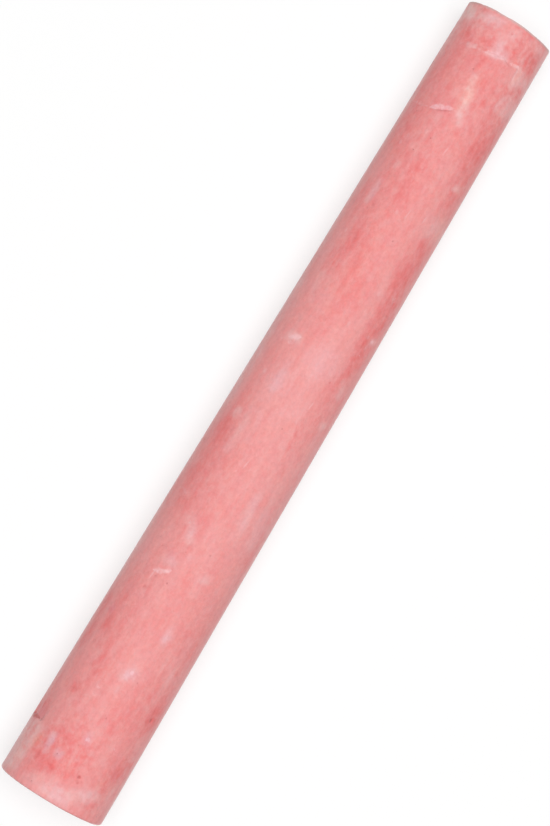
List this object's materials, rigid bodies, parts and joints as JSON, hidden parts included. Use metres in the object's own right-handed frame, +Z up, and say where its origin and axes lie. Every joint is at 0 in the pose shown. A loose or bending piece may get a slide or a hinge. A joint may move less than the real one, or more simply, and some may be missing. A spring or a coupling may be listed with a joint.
{
  "type": "tailor's chalk stick",
  "caption": "Round stick of pink tailor's chalk, tapered from a thick rounded end to a thin square-cut end, lying on its side.",
  "frame": {"origin": "on the surface that the stick lies on, under the middle of its box", "axes": "+X along the stick towards its thin end, +Z up, the stick lying on the narrow flat of its underside"},
  "size_m": [0.0802, 0.0104, 0.0103],
  "materials": {
    "pink_chalk": "dry, matt, dusty cast chalk with paler rubbed patches"
  },
  "bodies": {
    "root": {"chalk_stick": "pink_chalk"}
  },
  "joints": []
}
